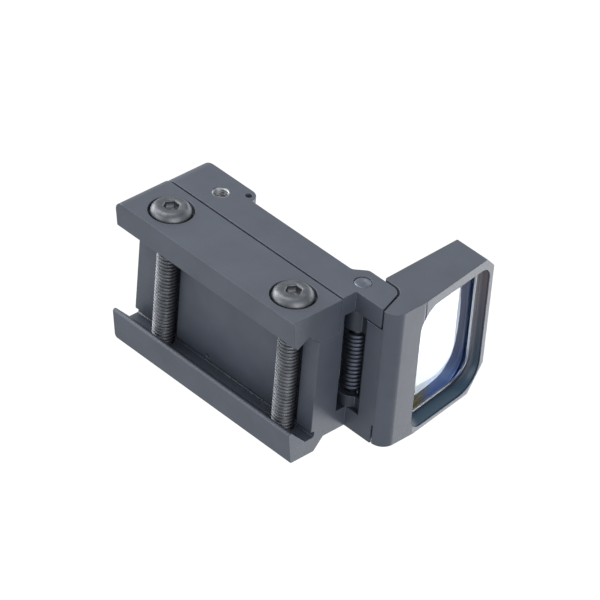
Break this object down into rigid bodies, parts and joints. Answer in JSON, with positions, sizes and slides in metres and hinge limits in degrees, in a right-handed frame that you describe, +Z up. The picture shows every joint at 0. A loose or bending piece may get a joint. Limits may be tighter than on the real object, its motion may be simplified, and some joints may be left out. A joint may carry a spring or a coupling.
{
  "type": "folding reflex sight",
  "caption": "Folding red dot reflex sight: a coated lens in a hinged frame over a slim housing, clamped to a dovetail rail by a side plate and cross screws.",
  "frame": {"origin": "middle of the flat face that sits on the rail", "axes": "+X towards the clamp plate and its screw heads, +Y the way the lens faces, +Z up, away from the rail"},
  "size_m": [0.0314, 0.0541, 0.0408],
  "materials": {
    "anodised_body": "matt black hard-anodised aluminium, bead blasted",
    "black_screws": "black oxide steel, semi-gloss",
    "dark_steel": "blackened spring steel, polished by wear",
    "coated_glass": "coated optical glass",
    "clear_glass": "clear glass",
    "bright_ring": "bare satin aluminium",
    "black_plastic": "fine grained black polymer",
    "brass_parts": "satin brass",
    "cell_steel": "nickel plated",
    "board": "green solder mask",
    "emitter_red": "clear red epoxy",
    "button_rubber": "matt black silicone rubber"
  },
  "bodies": {
    "housing": {"housing": "anodised_body", "rear_cover": "anodised_body", "cover_screws": "black_screws", "circuit_board": "board", "button_switches": "black_plastic", "hinge_pin": "dark_steel", "hinge_spring": "dark_steel", "battery_contacts": "brass_parts", "emitter_window": "clear_glass"},
    "clamp": {"clamp_plate": "anodised_body"},
    "rear_screw": {"clamp_screw_rear": "black_screws"},
    "front_screw": {"clamp_screw_front": "black_screws"},
    "lens_frame": {"lens_frame": "anodised_body", "lens": "coated_glass", "lens_bezel": "bright_ring"},
    "battery_tray": {"battery_tray": "black_plastic", "battery": "cell_steel"},
    "tray_screw": {"tray_screw": "black_screws"},
    "windage_screw": {"windage_screw": "black_screws"},
    "elevation_screw": {"elevation_screw": "black_screws"},
    "windage_carriage": {"windage_carriage": "brass_parts"},
    "emitter_holder": {"emitter_holder": "brass_parts", "emitter": "emitter_red"},
    "latch": {"latch": "anodised_body"},
    "brightness_down": {"brightness_down_button": "button_rubber"},
    "brightness_up": {"brightness_up_button": "button_rubber"}
  },
  "joints": [
    {"name": "lens_fold", "type": "hinge", "parent": "housing", "child": "lens_frame", "pos_m": [0.00165, 0.02, 0.0104], "axis": [1, 0, 0], "range_deg": [0, 88]},
    {"name": "clamp_open", "type": "slide", "parent": "housing", "child": "clamp", "axis": [1, 0, 0], "range_m": [-0.00014, 0.003]},
    {"name": "rear_screw_turn", "type": "hinge", "parent": "clamp", "child": "rear_screw", "pos_m": [0.015, -0.0146, -0.0011], "axis": [1, 0, 0], "range_deg": [-73, 1544]},
    {"name": "front_screw_turn", "type": "hinge", "parent": "clamp", "child": "front_screw", "pos_m": [0.015, 0.0154, -0.0011], "axis": [1, 0, 0], "range_deg": [-73, 1544]},
    {"name": "tray_slide", "type": "slide", "parent": "housing", "child": "battery_tray", "axis": [-1, 0, 0], "range_m": [0, 0.024]},
    {"name": "tray_screw_turn", "type": "hinge", "parent": "battery_tray", "child": "tray_screw", "pos_m": [-0.012, 0.014, 0.0079], "axis": [1, 0, 0], "continuous": true},
    {"name": "windage_turn", "type": "hinge", "parent": "housing", "child": "windage_screw", "pos_m": [0.012, -0.0133, 0.009], "axis": [1, 0, 0], "range_deg": [-253, 253]},
    {"name": "windage_shift", "type": "slide", "parent": "housing", "child": "windage_carriage", "axis": [1, 0, 0], "range_m": [-0.00035, 0.00035]},
    {"name": "elevation_turn", "type": "hinge", "parent": "housing", "child": "elevation_screw", "pos_m": [0.00165, -0.0133, 0.012], "axis": [0, 0, 1], "range_deg": [-217, 217]},
    {"name": "elevation_shift", "type": "slide", "parent": "windage_carriage", "child": "emitter_holder", "axis": [0, 0, 1], "range_m": [-0.0003, 0.0003]},
    {"name": "latch_slide", "type": "slide", "parent": "housing", "child": "latch", "axis": [0, 1, 0], "range_m": [0, 0.0015]},
    {"name": "brightness_down_press", "type": "slide", "parent": "housing", "child": "brightness_down", "axis": [0, 1, 0], "range_m": [0, 0.00045], "stiffness_N_per_m": 900, "springref_m": -0.0003},
    {"name": "brightness_up_press", "type": "slide", "parent": "housing", "child": "brightness_up", "axis": [0, 1, 0], "range_m": [0, 0.00045], "stiffness_N_per_m": 900, "springref_m": -0.0003}
  ],
  "couplings": [
    {"joint": "rear_screw_turn", "follows": "clamp_open", "rad_per_m": 8976},
    {"joint": "front_screw_turn", "follows": "clamp_open", "rad_per_m": 8976},
    {"joint": "windage_turn", "follows": "windage_shift", "rad_per_m": 12566},
    {"joint": "elevation_turn", "follows": "elevation_shift", "rad_per_m": 12566}
  ]
}
